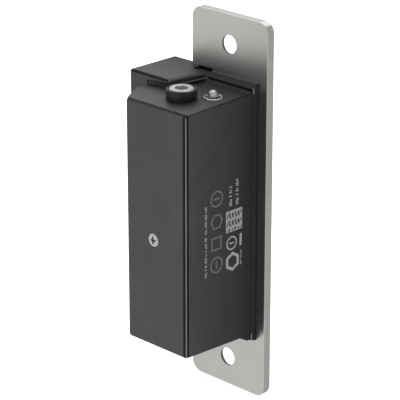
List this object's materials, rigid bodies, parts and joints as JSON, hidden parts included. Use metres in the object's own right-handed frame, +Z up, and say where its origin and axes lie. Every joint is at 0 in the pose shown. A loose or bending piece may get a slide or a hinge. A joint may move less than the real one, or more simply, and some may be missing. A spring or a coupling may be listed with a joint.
{
  "type": "electric door strike",
  "caption": "Electric door strike: a flat steel faceplate, a cast frame with a swinging spring-loaded keeper beside a latch pocket, and a deep rear casing that holds the solenoid lock.",
  "frame": {"origin": "centre of the faceplate's front face", "axes": "+Z up the door frame along the faceplate's long side, +Y into the door frame from the faceplate to the rear cover, +X towards the side where the door's latch leaves past the keeper"},
  "size_m": [0.0424, 0.0337, 0.1238],
  "materials": {
    "black_cast": "satin black powder coat with a fine cast grain",
    "black_cover": "satin black powder coat",
    "stainless": "brushed stainless steel",
    "bright_steel": "bright turned steel",
    "keeper_steel": "satin stainless casting",
    "dark_steel": "blackened steel",
    "spring_steel": "drawn spring wire",
    "brass": "turned brass",
    "copper": "enamelled copper winding",
    "black_plastic": "moulded black plastic",
    "white_plastic": "moulded pale plastic",
    "board_green": "solder-masked circuit board",
    "red_lead": "red wire insulation",
    "black_lead": "black wire insulation"
  },
  "bodies": {
    "strike_body": {"faceplate": "stainless", "faceplate_screw_upper": "bright_steel", "faceplate_screw_lower": "bright_steel", "front_frame": "black_cast", "rear_housing": "black_cast", "rear_cover": "black_cover", "rear_cover_screw": "bright_steel", "keeper_pivot_pin": "bright_steel", "keeper_bush_upper": "brass", "keeper_bush_lower": "brass", "solenoid_yoke": "dark_steel", "solenoid_bobbin": "white_plastic", "solenoid_coil": "copper", "solenoid_core": "bright_steel", "yoke_screw_upper": "bright_steel", "yoke_screw_lower": "bright_steel", "return_spring": "spring_steel", "lever_pivot_pin": "dark_steel", "monitor_rod": "bright_steel", "cup_washer_upper": "bright_steel", "cup_washer_lower": "bright_steel", "monitor_switch": "black_plastic", "selector_bush": "black_plastic", "circuit_board": "board_green", "board_standoff_1": "brass", "board_standoff_2": "brass", "board_screw_1": "bright_steel", "board_screw_2": "bright_steel", "cable_socket": "white_plastic", "socket_pin_1": "brass", "socket_pin_2": "brass", "socket_pin_3": "brass", "socket_pin_4": "brass", "suppressor_diode": "black_plastic", "coil_lead_red": "red_lead", "coil_lead_black": "black_lead"},
    "keeper": {"keeper": "keeper_steel", "keeper_spring": "spring_steel"},
    "plunger": {"plunger": "bright_steel", "plunger_cross_pin": "bright_steel", "plunger_clip": "dark_steel"},
    "locking_lever": {"locking_lever": "bright_steel"},
    "monitor_lever": {"monitor_lever": "black_plastic"},
    "switch_button": {"switch_button": "white_plastic"},
    "selector": {"selector_screw": "bright_steel", "selector_clip": "dark_steel"}
  },
  "joints": [
    {"name": "keeper_hinge", "type": "hinge", "parent": "strike_body", "child": "keeper", "pos_m": [0.0215, 0.0155, 0], "axis": [0, 0, 1], "range_deg": [0, 70], "stiffness_Nm_per_rad": 0.02},
    {"name": "plunger_slide", "type": "slide", "parent": "strike_body", "child": "plunger", "axis": [0, 0, 1], "range_m": [0, 0.0014], "stiffness_N_per_m": 150, "deforming": ["return_spring"]},
    {"name": "lever_rock", "type": "hinge", "parent": "strike_body", "child": "locking_lever", "pos_m": [-0.0064, 0.023, -0.0035], "axis": [0, -1, 0], "range_deg": [0, 11.6]},
    {"name": "monitor_swing", "type": "hinge", "parent": "strike_body", "child": "monitor_lever", "pos_m": [-0.0059, 0.0161, 0], "axis": [0, 0, 1], "range_deg": [0, 8]},
    {"name": "button_press", "type": "slide", "parent": "strike_body", "child": "switch_button", "axis": [-1, 0, 0], "range_m": [0, 0.00065]},
    {"name": "selector_turn", "type": "hinge", "parent": "strike_body", "child": "selector", "pos_m": [0.0006, 0.023, 0.04], "axis": [0, 0, 1], "range_deg": [0, 180]}
  ],
  "couplings": [
    {"joint": "lever_rock", "follows": "plunger_slide", "rad_per_m": 143.8},
    {"joint": "button_press", "follows": "monitor_swing", "m_per_rad": 0.0044}
  ]
}
